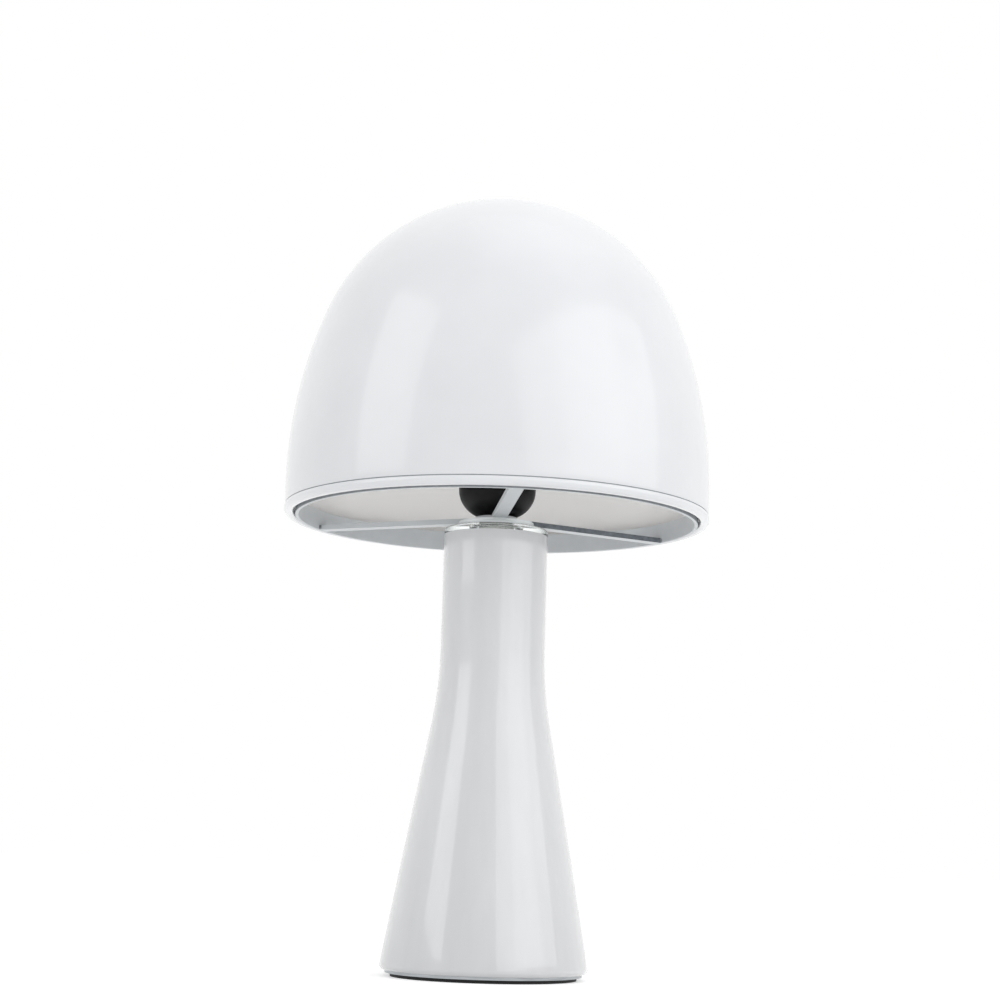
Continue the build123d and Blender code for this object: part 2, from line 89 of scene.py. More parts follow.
ARM_ANGLES = (-85.0, 31.0, 156.0)    # directions of the arms, degrees from +X
ARM_W = 8.0
HUB_PLATE_R = 22.0
WELD_R = 1.1
WELD_INSET = 0.2         # the welds stop this far short of the arm's two faces
RIPPLE_DEPTH = 0.10      # ripples of a weld's bead, as a share of its radius
RIPPLE_TURN = 9.0        # radians of ripple from a weld's middle to its end
CAP_BEVEL = 2.0          # bevel at the foot of the bulb's cap
CAP_WALL = 0.4           # left under the thread; the CAD model's plain cap has a wall of 0.5
THREAD_PITCH = 3.63      # round thread of the bulb's cap
THREAD_DEPTH = 1.0
THREAD_RUN_OUT = 1.8     # over this length the thread dies out at either end

# ---- fineness of the meshes: the steps along each stretch of a section ----
ROUND = 192              # round a lathed piece
DOME_STEPS = 64          # on each of the dome's two arcs
ROLL_STEPS = 40          # round the wired bead
CREASE_STEPS = 6
EASED_STEPS = 5          # on an eased edge of the hoop
NECK_STEPS = 12
BEND_STEPS = 20
CONE_STEPS = 24
FOOT_STEPS = 10          # on the stem's rounded lower edge
ROOF_STEPS = 4           # across the opal's flat top
CLEAR_STEPS = 6          # across the clear glass's flat foot, and on its bore's edge
CLEAR_EDGE_STEPS = 12
CORNER_STEPS = 40        # round corner of the lampholder's cap, outside
HOLLOW_STEPS = 30        # the same corner inside
THREAD_STEPS = 10        # for each turn of the bulb's thread
WELD_ROWS = 18
WELD_SIDES = 14
SHARP_ANGLE = 35         # degrees above which an edge stays sharp
ON_AXIS = 1e-6           # a point nearer to the axis than this, in mm, lies on it
MERGED = 1e-7            # points nearer than this, in metres, are one
UP = Vector((0, 0, 1))


def top_of(name):
    """Height in mm of the upper end of a CAD node."""
    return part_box(name)[1].z / MM


def foot_of(name):
    """Height in mm of its lower end."""
    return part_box(name)[0].z / MM


# ================= meshes =================


def arc(centre, radius, start, sweep, steps):
    """Points on an arc in the half section (r, z); angles in degrees from the outward direction."""
    points = []
    for i in range(steps + 1):
        a = math.radians(start + sweep * i / steps)
        points.append((centre[0] + radius * math.cos(a), centre[1] + radius * math.sin(a)))
    return points


def run(start, end, steps):
    """Points along a straight stretch, without its first one."""
    return [tuple(s + (e - s) * i / steps for s, e in zip(start, end)) for i in range(1, steps + 1)]


def lathe(name, section, closed=True, smooth_angle=SHARP_ANGLE, pitch=0):
    """Turns a half section, a ring of (r, z) in mm, about the lamp's axis. A point with a third
    number carries a round thread of that depth, with the given pitch."""
    mesh = bpy.data.meshes.new(name)
    build = bmesh.new()
    rings = []
    for r, z, *cut in section:
        if r < ON_AXIS:
            rings.append([build.verts.new((0, 0, z * MM))] * ROUND)
            continue
        ring = []
        for k in range(ROUND):
            a = 2 * math.pi * k / ROUND
            reach = r * MM
            if cut:
                reach -= cut[0] * MM * (0.5 - 0.5 * math.cos(2 * math.pi * z / pitch - a))
            ring.append(build.verts.new((reach * math.cos(a), reach * math.sin(a), z * MM)))
        rings.append(ring)
    pairs = list(zip(rings, rings[1:]))
    if closed:
        pairs.append((rings[-1], rings[0]))
    for low, high in pairs:
        for k in range(ROUND):
            corners = [low[k], low[(k + 1) % ROUND], high[(k + 1) % ROUND], high[k]]
            corners = [v for i, v in enumerate(corners) if v not in corners[:i]]
            if len(corners) > 2:
                build.faces.new(corners)
    bmesh.ops.recalc_face_normals(build, faces=build.faces)
    build.to_mesh(mesh)
    build.free()
    piece = bpy.data.objects.new(name, mesh)
    bpy.context.scene.collection.objects.link(piece)
    soften(piece, smooth_angle)
    return piece


def turned(vector, axis, degrees):
    """A vector swung about an axis."""
    return Matrix.Rotation(math.radians(degrees), 3, axis) @ vector


def soften(piece, angle):
    """Smooth shading with edges kept sharp above an angle in degrees."""
    mesh = piece.data
    mesh.shade_smooth()
    mesh.set_sharp_from_angle(angle=math.radians(angle))


def drilled(piece, radius, start, along, depth):
    """Drills a round hole into a piece: from a point in mm, along a direction, to a depth in mm."""
    cutter = lathe("drill", [(0, 0), (radius, 0), (radius, depth), (0, depth)], closed=False)
    lean = UP.rotation_difference(Vector(along)).to_matrix().to_4x4()
    cutter.matrix_world = Matrix.Translation(Vector(start) * MM) @ lean
    cut = piece.modifiers.new("bore", "BOOLEAN")
    cut.operation = "DIFFERENCE"
    cut.solver = "EXACT"
    cut.object = cutter
    bpy.context.view_layer.update()
    shape = piece.evaluated_get(bpy.context.evaluated_depsgraph_get())
    made = bpy.data.meshes.new_from_object(shape)
    piece.modifiers.clear()
    piece.data = made
    bpy.data.objects.remove(cutter)
    soften(piece, SHARP_ANGLE)


# ================= materials =================

NOISE_RANGE = (0.35, 0.65)     # most of a noise pattern lies between these
METAL_DRIFT = 0.06             # how far a metal's roughness drifts either way
DULL_DRIFT = 0.05              # the same for a dull surface
GRAINS_TO_PATCH = 6            # its colour drifts in patches this many grains across


def linear(colour):
    """sRGB hex to linear RGBA."""
    parts = [int(colour[i:i + 2], 16) / 255 for i in (1, 3, 5)]
    made = [c / 12.92 if c <= 0.04045 else ((c + 0.055) / 1.055) ** 2.4 for c in parts]
    return (*made, 1.0)


def add(tree, kind, inputs=None, **settings):
    """One node with its settings; an input is a value, or the socket that it is linked from."""
    made = tree.nodes.new(kind)
    for key, value in settings.items():
        setattr(made, key, value)
    for key, value in (inputs or {}).items():
        if isinstance(value, bpy.types.NodeSocket):
            tree.links.new(value, made.inputs[key])
        else:
            made.inputs[key].default_value = value
    return made


def material(name):
    """An empty material and its node tree."""
    made = bpy.data.materials.new(name)
    made.use_nodes = True
    made.node_tree.nodes.clear()
    return made, made.node_tree


def shades(tree, place, size_mm, low, high, detail=3.0):
    """Two close colours that drift into each other in patches of a real size."""
    noise = add(tree, "ShaderNodeTexNoise", {"Vector": place, "Scale": 1 / (size_mm * MM), "Detail": detail})
    ramp = add(tree, "ShaderNodeValToRGB", {"Fac": noise.outputs["Fac"]})
    for stop, position, colour in zip(ramp.color_ramp.elements, NOISE_RANGE, (low, high)):
        stop.color = linear(colour)
        stop.position = position
    return ramp.outputs["Color"], noise.outputs["Fac"]


def skin(tree, place, size_mm, height_mm, detail=2.0):
    """Fine bumps of a real size and height."""
    noise = add(tree, "ShaderNodeTexNoise", {"Vector": place, "Scale": 1 / (size_mm * MM), "Detail": detail})
    bump = add(tree, "ShaderNodeBump", {
        "Height": noise.outputs["Fac"], "Strength": 1.0, "Distance": height_mm * MM})
    return bump.outputs["Normal"]


def close(tree, shader):
    """Ends a material with its shader."""
    add(tree, "ShaderNodeOutputMaterial", {"Surface": shader.outputs["BSDF"]})


def gloss_lacquer():
    """Stoved white lacquer on spun steel: even colour, faint orange peel, soft-edged reflections."""
    made, tree = material("gloss_white_lacquer")
    place = add(tree, "ShaderNodeTexCoord").outputs["Object"]
    colour, drift = shades(tree, place, 60, "#E5E7EA", "#E9EBEE")
    peel = skin(tree, place, 2.5, 0.002)
    rough = add(tree, "ShaderNodeMapRange", {"Value": drift, "To Min": 0.30, "To Max": 0.36})
    close(tree, add(tree, "ShaderNodeBsdfPrincipled", {
        "Base Color": colour, "Roughness": rough.outputs["Result"], "Specular IOR Level": 0.3,
        "Coat Weight": 1.0, "Coat Roughness": 0.12, "Coat IOR": 1.5, "Normal": peel}))
    return made


def inner_lacquer():
    """The same lacquer inside the dome, matt because it was sprayed thinner; its colour is painted lighter
    than the outside's, as painted light for the inside of the dome.
    """
    made, tree = material("matt_white_lacquer_painted_lighter")
    place = add(tree, "ShaderNodeTexCoord").outputs["Object"]
    colour, drift = shades(tree, place, 45, "#F9F8F7", "#FBFAF9")
    grain = skin(tree, place, 1.2, 0.01)
    rough = add(tree, "ShaderNodeMapRange", {"Value": drift, "To Min": 0.55, "To Max": 0.62})
    close(tree, add(tree, "ShaderNodeBsdfPrincipled", {
        "Base Color": colour, "Roughness": rough.outputs["Result"], "Normal": grain}))
    return made


def opal_glass():
    """White opal glass under a fire-polished clear skin: milky body, sharp wet reflections."""
    made, tree = material("opal_glass")
    place = add(tree, "ShaderNodeTexCoord").outputs["Object"]
    stretch = add(tree, "ShaderNodeMapping", {"Vector": place, "Scale": (1.0, 1.0, 0.15)})
    colour, drift = shades(tree, stretch.outputs["Vector"], 22, "#DCDDDF", "#E2E3E5")
    wave = skin(tree, stretch.outputs["Vector"], 30, 0.05)
    rough = add(tree, "ShaderNodeMapRange", {"Value": drift, "To Min": 0.20, "To Max": 0.28})
    close(tree, add(tree, "ShaderNodeBsdfPrincipled", {
        "Base Color": colour, "Roughness": rough.outputs["Result"],
        "Subsurface Weight": 0.3, "Subsurface Radius": (0.004, 0.004, 0.004), "Subsurface Scale": 1.0,
        "Coat Weight": 1.0, "Coat Roughness": 0.04, "Coat IOR": 1.6, "Coat Normal": wave}))
    return made


def clear_glass():
    """Clear soda glass, fire polished: refracts what stands behind it, a trace of grey-green."""
    made, tree = material("clear_glass")
    place = add(tree, "ShaderNodeTexCoord").outputs["Object"]
    middle, _ = shades(tree, place, 20, "#F4F8F7", "#FAFCFC")
    ripple = skin(tree, place, 9, 0.02)
    # the longer way through the rim of the ring shows its tint
    edge = add(tree, "ShaderNodeLayerWeight", {"Blend": 0.5}).outputs["Facing"]
    deep = add(tree, "ShaderNodeMapRange", {"Value": edge, "From Min": 0.25, "From Max": 0.7})
    colour = add(tree, "ShaderNodeMix", {
        "Factor": deep.outputs["Result"], 6: middle, 7: linear("#929A98")}, data_type="RGBA").outputs[2]
    glass = add(tree, "ShaderNodeBsdfPrincipled", {
        "Base Color": colour, "Roughness": 0.0, "IOR": 1.5, "Transmission Weight": 1.0, "Normal": ripple})
    # light passes it to what stands behind, so that it throws no black shadow
    rays = add(tree, "ShaderNodeLightPath").outputs
    spread = add(tree, "ShaderNodeMath", {0: rays["Is Shadow Ray"], 1: rays["Is Diffuse Ray"]},
                 operation="MAXIMUM")
    passing = add(tree, "ShaderNodeBsdfTransparent", {"Color": linear("#F2F5F4")})
    mix = add(tree, "ShaderNodeMixShader", {
        0: spread.outputs[0], 1: glass.outputs["BSDF"], 2: passing.outputs["BSDF"]})
    add(tree, "ShaderNodeOutputMaterial", {"Surface": mix.outputs["Shader"]})
    return made


def black_moulding():
    """Black phenolic moulding of the lampholder: satin, fine grain, deep black."""
    made, tree = material("black_phenolic")
    place = add(tree, "ShaderNodeTexCoord").outputs["Object"]
    colour, drift = shades(tree, place, 4, "#0A0A0B", "#0F0F10")
    grain = skin(tree, place, 0.6, 0.01)
    rough = add(tree, "ShaderNodeMapRange", {"Value": drift, "To Min": 0.42, "To Max": 0.50})
    close(tree, add(tree, "ShaderNodeBsdfPrincipled", {
        "Base Color": colour, "Roughness": rough.outputs["Result"], "Specular IOR Level": 0.15,
        "Normal": grain}))
    return made


def turned_metal(name, low, high, roughness, ring_mm):
    """A plated or bare metal with the fine rings that turning leaves."""
    made, tree = material(name)
    place = add(tree, "ShaderNodeTexCoord").outputs["Object"]
    rings = add(tree, "ShaderNodeMapping", {"Vector": place, "Scale": (0.05, 0.05, 1.0)})
    colour, drift = shades(tree, rings.outputs["Vector"], ring_mm, low, high, detail=4.0)
    scratch = skin(tree, rings.outputs["Vector"], ring_mm, 0.004)
    rough = add(tree, "ShaderNodeMapRange", {
        "Value": drift, "To Min": roughness - METAL_DRIFT, "To Max": roughness + METAL_DRIFT})
    close(tree, add(tree, "ShaderNodeBsdfPrincipled", {
        "Base Color": colour, "Metallic": 1.0, "Roughness": rough.outputs["Result"], "Normal": scratch}))
    return made


def dull_surface(name, low, high, roughness, grain_mm, height_mm):
    """A matt or satin surface, cast or moulded, with a grain of a real size."""
    made, tree = material(name)
    place = add(tree, "ShaderNodeTexCoord").outputs["Object"]
    colour, drift = shades(tree, place, grain_mm * GRAINS_TO_PATCH, low, high)
    grain = skin(tree, place, grain_mm, height_mm)
    rough = add(tree, "ShaderNodeMapRange", {
        "Value": drift, "To Min": roughness - DULL_DRIFT, "To Max": roughness + DULL_DRIFT})
    close(tree, add(tree, "ShaderNodeBsdfPrincipled", {
        "Base Color": colour, "Roughness": rough.outputs["Result"], "Normal": grain}))
    return made


def grey_lacquer(name, arm=None):
    """Satin pale grey lacquer on the steel carrier. It hardly took on the laser-cut flank of one arm,
    where the steel shows dark."""
    made, tree = material(name)
    coords = add(tree, "ShaderNodeTexCoord")
    place = coords.outputs["Object"]
    colour, drift = shades(tree, place, 9, "#CFD3D6", "#D3D7DA")
    if arm is not None:
        along = turned(Vector((1, 0, 0)), UP, arm)
        flank = turned(along, UP, -90)
        facing = add(tree, "ShaderNodeVectorMath", {0: coords.outputs["Normal"], 1: flank},
                     operation="DOT_PRODUCT")
        reach = add(tree, "ShaderNodeVectorMath", {0: place, 1: along}, operation="DOT_PRODUCT")
        outside = add(tree, "ShaderNodeMath", {0: reach.outputs["Value"], 1: HUB_PLATE_R * MM},
                      operation="GREATER_THAN")
        bare = add(tree, "ShaderNodeMapRange", {
            "Value": facing.outputs["Value"], "From Min": 0.85, "From Max": 0.97,
            "To Max": outside.outputs["Value"]})
        steel, _ = shades(tree, place, 3, "#5F666D", "#757C83")
        colour = add(tree, "ShaderNodeMix", {
            "Factor": bare.outputs["Result"], 6: colour, 7: steel}, data_type="RGBA").outputs[2]
    grain = skin(tree, place, 1.5, 0.01)
    rough = add(tree, "ShaderNodeMapRange", {"Value": drift, "To Min": 0.35, "To Max": 0.45})
    close(tree, add(tree, "ShaderNodeBsdfPrincipled", {
        "Base Color": colour, "Roughness": rough.outputs["Result"], "Normal": grain}))
    return made


lacquer = gloss_lacquer()
lacquer_inside_painted_lighter = inner_lacquer()
opal = opal_glass()
clear = clear_glass()
phenolic = black_moulding()
# nickel on turned steel: warm grey, its shine drawn out by the turning rings
nickel = turned_metal("nickel_plate", "#A9A8A4", "#BDBCB8", 0.28, 0.5)
# zinc on steel: cooler and duller than the nickel
zinc = turned_metal("zinc_plate", "#9FA3A6", "#B4B8BB", 0.38, 0.7)
# bare pressed brass: yellow, with a soft shine
brass = turned_metal("bare_brass", "#C39A4E", "#D0AA60", 0.30, 0.5)
# moulded rubber: near black and dull
rubber = dull_surface("black_rubber", "#1B1B1B", "#232323", 0.75, 0.5, 0.03)
# grey iron as cast: dark, with the rough skin of the sand mould
iron = dull_surface("cast_iron", "#2E2E2F", "#3A3A3B", 0.7, 1.2, 0.12)
# moulded white plastic: satin, a little cream
white_plastic = dull_surface("white_moulding", "#E6E6E3", "#ECECEA", 0.42, 0.5, 0.01)
# the bulb's glass, frosted inside: even white with a soft shine
frost = dull_surface("frosted_glass", "#EFEFEC", "#F5F5F3", 0.35, 0.4, 0.01)
carrier_finish = grey_lacquer("satin_grey_lacquer")
# lacquer on the hub plate, painted paler than the carrier's as painted light, because little light reaches
# it there
plate_painted_light = dull_surface("lacquer_on_the_plate_painted_paler", "#ECEEF0", "#F0F2F4", 0.4, 1.5, 0.01)
arms_finish = grey_lacquer("satin_grey_lacquer_bare_flank", ARM_ANGLES[1])
# painted shade deep in the seam between bead and hoop: a dark hairline
seam_painted_shade = dull_surface("painted_shade_in_a_seam", "#84888C", "#92969A", 0.6, 0.5, 0.01)
# painted shade in the groove above the bead: a fine grey line
groove_painted_shade = dull_surface("painted_shade_in_the_groove", "#A2A6AA", "#AEB2B6", 0.6, 0.5, 0.01)
# steel of the weld: blotchy mid grey, darker than the lacquer round it
weld_finish = dull_surface("mid_grey_weld", "#6E7276", "#9A9EA2", 0.45, 0.6, 0.03)

FINISHES = {
    "white_lacquer": lacquer, "grey_lacquer": carrier_finish, "opal_glass": opal, "clear_glass": clear,
    "black_rubber": rubber, "nickel_steel": nickel, "zinc_steel": zinc, "cast_iron": iron,
    "white_plastic": white_plastic, "black_plastic": phenolic, "brass": brass,
    "nickel_aluminium": nickel, "frosted_glass": frost,
}
# nodes whose finish isn't simply that of their slot
OWN_FINISH = {"carrier_arms": arms_finish, "hub_plate": plate_painted_light}
SLOT_OF = {s["node"]: s["material_slot"] for s in frame["record"]["subparts"]}
BODY_OF = {n: b for b, ns in frame["record"]["behaviour"]["bodies"].items() for n in ns}

for name, part in frame["nodes"].items():
    part.data.materials.clear()
    part.data.materials.append(OWN_FINISH.get(name, FINISHES[SLOT_OF[name]]))


def stands_for(piece, name, finish=None):
    """The piece takes the place of one CAD node, with its body, slot and finish."""
    piece.data.materials.append(finish or FINISHES[SLOT_OF[name]])
    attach(piece, BODY_OF[name])
    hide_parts(name)
    return piece


# ================= the shade =================


def shade_wall(inset):
    """Crown arc and side arc of the dome, from the crown down, inset from the outside."""
    crown_z = RIM_Z + SHADE_RISE - CROWN_R
    radius = CROWN_R - inset
    crown = arc((0, crown_z), radius, 90, -SHOULDER_ANGLE, DOME_STEPS)
    # the side arc is tangent to the crown's end and passes through the rim
    first = 90 - SHOULDER_ANGLE
    lean = math.radians(first)
    out = (math.cos(lean), math.sin(lean))
    start = crown[-1]
    end = (SHADE_R - BEAD_PROUD - inset, RIM_Z)
    chord = (end[0] - start[0], end[1] - start[1])
    side_r = -(chord[0] ** 2 + chord[1] ** 2) / (2 * (chord[0] * out[0] + chord[1] * out[1]))
    centre = (start[0] - side_r * out[0], start[1] - side_r * out[1])
    last = math.degrees(math.atan2(end[1] - centre[1], end[0] - centre[0]))
    return crown + arc(centre, side_r, first, last - first, DOME_STEPS)[1:]


def make_shade():
    """Spun dome with its wired bead; the groove above the bead is part of the section."""
    bead = (SHADE_R - BEAD_R, RIM_Z)
    outside = [p for p in shade_wall(0) if p[1] > RIM_Z + WALL_END]
    inside = [p for p in shade_wall(SHADE_WALL) if p[1] > RIM_Z + LINING_END]
    crease = (SHADE_R - BEAD_PROUD, RIM_Z + math.sqrt(BEAD_R ** 2 - (BEAD_R - BEAD_PROUD) ** 2))
    groove = arc(crease, CREASE_R, 90, CREASE_SWEEP, CREASE_STEPS)
    first = math.degrees(math.atan2(crease[1] - bead[1] - CREASE_R, crease[0] - bead[0]))
    last = math.degrees(math.atan2(BEAD_R, inside[-1][0] - bead[0]))
    roll = arc(bead, BEAD_R, first, -(360 - last + first), ROLL_STEPS)
    piece = lathe("dome_shade", outside + groove + roll + inside[::-1])
    piece.data.materials.append(lacquer)
    stands_for(piece, "shade", lacquer_inside_painted_lighter)
    piece.data.materials.append(groove_painted_shade)
    # the inner wall takes the matt lacquer, painted lighter, the second of the three finishes, and the
    # groove the third, its painted shade
    limit = (SHADE_R - BEAD_PROUD - SHADE_WALL / 2) * MM
    groove_start = len(outside)
    groove_end = groove_start + len(groove)
    inner_start = groove_end + len(roll)
    for face in piece.data.polygons:
        ring = min(v // ROUND for v in face.vertices)
        if ring >= inner_start - 1 and face.center.xy.length < limit:
            face.material_index = 1
        elif groove_start <= ring < groove_end - 1:
            face.material_index = 2


def edged_band(name, inner_r, outer_r, low, high, edge):
    """A flat band bent to a ring, its four edges eased."""
    section = []
    corners = ((outer_r - edge, low + edge), (outer_r - edge, high - edge),
               (inner_r + edge, high - edge), (inner_r + edge, low + edge))
    for start, corner in zip((-90, 0, 90, 180), corners):
        section += arc(corner, edge, start, 90, EASED_STEPS)
    return lathe(name, section)


def make_hoop():
    """Flat band inside the bead; its outer wall, deep in the seam, takes the painted shade."""
    band = edged_band("hoop_band", HOOP_R - HOOP_WALL, HOOP_R, foot_of("carrier_hoop"),
                      top_of("carrier_hoop"), EDGE_R)
    hoop = stands_for(band, "carrier_hoop")
    hoop.data.materials.append(seam_painted_shade)
    for face in hoop.data.polygons:
        face.material_index = int(face.center.xy.length > (HOOP_R - EDGE_R / 4) * MM)


make_shade()
make_hoop()

# ================= the stem =================

opal_top = top_of("stem_glass")
glass_foot = foot_of("stem_glass")


def stem_section(inset, top, foot_edge):
    """Outside of the stem from its top down to its foot, or a line parallel to it."""
    slope = math.radians(CONE_ANGLE)
    bend_z = opal_top - NECK_LENGTH
    bend_r = BEND_R + inset
    neck = NECK_R - inset
    centre = (neck + bend_r, bend_z)
    flare = arc(centre, bend_r, 180, CONE_ANGLE, BEND_STEPS)
    cone_z = flare[-1][1]
    foot_r = flare[-1][0] + (cone_z - glass_foot) * math.tan(slope)
    wall = [(neck, top)] + run((neck, top), (neck, bend_z), NECK_STEPS) + flare[1:]
    if not foot_edge:
        return wall + run(flare[-1], (foot_r, glass_foot), CONE_STEPS)
    # rounded lower edge, tangent to the cone and to the table
    reach = foot_edge / math.tan(math.radians(90 + CONE_ANGLE) / 2)
    centre = (foot_r - reach, glass_foot + foot_edge)
    edge = arc(centre, foot_edge, CONE_ANGLE, -90 - CONE_ANGLE, FOOT_STEPS)
    return wall + run(flare[-1], edge[0], CONE_STEPS) + edge[1:]


def make_stem():
    """Hollow opal glass under a flat roof with a hole for the tube; it stands open at the foot."""
    outside = stem_section(0, opal_top, FOOT_EDGE_R)
    inside = stem_section(GLASS_WALL, opal_top - GLASS_WALL, 0)
    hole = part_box("neck_gasket")[1].x / MM - GASKET_RING
    ring = [(hole, opal_top)] + run((hole, opal_top), (NECK_R, opal_top), ROOF_STEPS)[:-1]
    roof = [(hole, opal_top - GLASS_WALL)]
    return lathe("stem_body", ring + outside + inside[::-1] + roof, smooth_angle=30)


def drill_inlet(stem):
    """The hole for the cable inlet, square to the cone at the back of the foot."""
    slope = math.radians(CONE_ANGLE)
    square = Vector((0, math.cos(slope), math.sin(slope)))
    cone_start = stem_section(0, opal_top, 0)[-CONE_STEPS - 1]
    inlet_y = cone_start[0] + (cone_start[1] - INLET_Z) * math.tan(slope)
    # it starts inside the stem, well clear of the wall, and ends as far outside
    start = Vector((0, inlet_y, INLET_Z)) - 2 * GLASS_WALL * square
    drilled(stem, INLET_HOLE_R, start, square, 4 * GLASS_WALL)


def make_clear_top():
    """Ring of clear glass round the sleeve, its upper edge fire polished."""
    low, high = foot_of("clear_top"), top_of("clear_top")
    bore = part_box("hub_sleeve")[1].x / MM + SLEEVE_FIT
    section = [(bore, low)] + run((bore, low), (NECK_R, low), CLEAR_STEPS)
    section += arc((NECK_R - CLEAR_EDGE_R, high - CLEAR_EDGE_R), CLEAR_EDGE_R, 0, 90, CLEAR_EDGE_STEPS)
    section += arc((bore + EDGE_R, high - EDGE_R), EDGE_R, 90, 90, CLEAR_STEPS)
    return lathe("clear_glass_top", section, smooth_angle=50)


stem_body = make_stem()
drill_inlet(stem_body)
stands_for(stem_body, "stem_glass")
stands_for(make_clear_top(), "clear_top")

# ================= the lampholder and the bulb =================


def make_holder_cap():
    """Domed cap: flat base on the hub, round corner, collar, and a boss inside that takes the tube."""
    base = foot_of("holder_cap")
    top = top_of("holder_cap")
    boss_top = top_of("threaded_tube") + BOSS_PAST_TUBE
    corner = (HOLDER_R - HOLDER_CORNER, base + HOLDER_CORNER)
    inner_r = HOLDER_R - HOLDER_WALL
    inner_corner = HOLDER_CORNER - HOLDER_WALL
    # the inner corner ends where it meets the boss
    lean = math.degrees(math.asin((BOSS_R - corner[0]) / inner_corner))
    section = [(THREAD_R, base)] + arc(corner, HOLDER_CORNER, -90, 90, CORNER_STEPS)
    section += [(HOLDER_R, top - HOLDER_EDGE), (HOLDER_R - HOLDER_EDGE, top), (inner_r, top)]
    section += arc(corner, inner_corner, 0, -90 + lean, HOLLOW_STEPS)
    section += [(BOSS_R, boss_top), (THREAD_R, boss_top)]
    cap = lathe("domed_cap", section)
    drilled(cap, GRUB_R, (0, 0, GRUB_Z), (0, -1, 0), BOSS_R + HOLDER_WALL)
    return cap


def make_bulb_cap():
    """The bulb's screw cap with its round thread; the thread dies out at both ends."""
    low, high = foot_of("bulb_cap"), top_of("bulb_cap")
    cap_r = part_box("bulb_cap")[1].x / MM
    first, last = low + CAP_BEVEL, high - THREAD_RUN_OUT
    steps = round((last - first) / THREAD_PITCH * THREAD_STEPS)
    thread = []
    for i in range(steps + 1):
        z = first + (last - first) * i / steps
        depth = THREAD_DEPTH * min(1.0, (z - first) / THREAD_RUN_OUT, (last - z) / THREAD_RUN_OUT)
        thread.append((cap_r, z, depth))
    section = [(0, low), (cap_r - CAP_BEVEL, low)] + thread + [(cap_r, high)]
    inner_r = cap_r - THREAD_DEPTH - CAP_WALL
    bottom = first + CAP_WALL
    section += [(cap_r - CAP_WALL, high), (inner_r, last), (inner_r, bottom), (0, bottom)]
    return lathe("bulb_screw_cap", section, closed=False, smooth_angle=50, pitch=THREAD_PITCH)


stands_for(make_holder_cap(), "holder_cap")
stands_for(make_bulb_cap(), "bulb_cap")

# ================= welds on the carrier =================


def make_arm_welds():
    """Short fillet welds in the corners where the arms meet the hoop, with the ripples of the bead."""
    inner = HOOP_R - HOOP_WALL
    reach = math.sqrt(inner ** 2 - (ARM_W / 2) ** 2)
    low, high = foot_of("carrier_arms") + WELD_INSET, top_of("carrier_arms") - WELD_INSET
    mesh = bpy.data.meshes.new("arm_welds")
    build = bmesh.new()
    for angle in ARM_ANGLES:
        for side in (-1, 1):
            corner = turned(Vector((reach, side * ARM_W / 2, 0)), UP, angle)
            rings = []
            for i in range(WELD_ROWS + 1):
                t = 2 * i / WELD_ROWS - 1
                # round ends, and ripples along the bead
                ripple = 1 + RIPPLE_DEPTH * math.cos(RIPPLE_TURN * t)
                girth = WELD_R * math.sqrt(max(0.0, 1 - t ** 4)) * ripple
                z = low + (high - low) * i / WELD_ROWS
                ring = []
                for k in range(WELD_SIDES):
                    a = 2 * math.pi * k / WELD_SIDES
                    place = Vector((corner.x + girth * math.cos(a), corner.y + girth * math.sin(a), z))
                    ring.append(build.verts.new(place * MM))
                rings.append(ring)
            for lower, upper in zip(rings, rings[1:]):
                for k in range(WELD_SIDES):
                    after = (k + 1) % WELD_SIDES
                    build.faces.new((lower[k], lower[after], upper[after], upper[k]))
    bmesh.ops.remove_doubles(build, verts=build.verts, dist=MERGED)
    bmesh.ops.recalc_face_normals(build, faces=build.faces)
    build.to_mesh(mesh)
    build.free()
    piece = bpy.data.objects.new("arm_welds", mesh)
    bpy.context.scene.collection.objects.link(piece)
    soften(piece, angle=60)
    piece.data.materials.append(weld_finish)
    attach(piece, BODY_OF["carrier_arms"])


make_arm_welds()

# ================= camera, floor and light =================

# the camera, in millimetres and degrees
CAMERA_DISTANCE = 1200.0     # to the middle of the shade's rim
CAMERA_BELOW = 9.45          # below the rim's plane
CAMERA_PAN = 0.08            # turned to the right of the rim's middle
CAMERA_TILT = 0.49           # turned up from it
CAMERA_ROLL = -1.7
FOCAL_PX = 2035.0            # focal length in pixels of a frame 1000 pixels wide
FRAME_PX = 1000.0
SENSOR_WIDTH = 36.0
CLIP_NEAR = 0.01             # metres, as the next one
CLIP_FAR = 50.0

# light levels, where 1 is white, and places in metres
WHITE = 1.0                  # what the eye, gloss and glass see of the room
ROOM_FRONT = 0.80            # light from the room on the camera's side
ROOM_BACK = 0.76             # the same from behind the lamp
ROOM_FADE = 0.5              # the first passes into the second while the direction's Y is within this
FLOOR_SIZE = 12.0            # half the floor's width
FLOOR_GLOW = 0.50            # what the floor gives off to the eye, gloss and glass
FLOOR_FILL = 0.20            # what it gives off to light the lamp
PATCH_FILL = 0.05            # the same close under the lamp
PATCH_R = 0.15               # so far from the axis the patch is even
PATCH_END = 0.45             # and here it has passed into the rest
LIGHT_DISTANCE = 1.5         # from the point that the soft lights aim at
LIGHT_CENTRE = 0.33          # height of that point
SHINE_GAP = 0.02             # the mirrored panel hangs this much nearer than the lighting one
AREA_POWER = 4.0             # watts for each square metre that give an area light the level 1

# two weak square lights that face up: heights and sizes in millimetres, and levels
INSIDE_ABOVE_RIM = 4.0       # in the dome, this far above the rim
INSIDE_SIZE = 160.0
INSIDE_LIGHT = 0.42
GLASS_FILL_ABOVE = 0.2       # under the hub plate, this far above the clear glass
GLASS_FILL_SIZE = 42.0
GLASS_FILL_LIGHT = 0.40


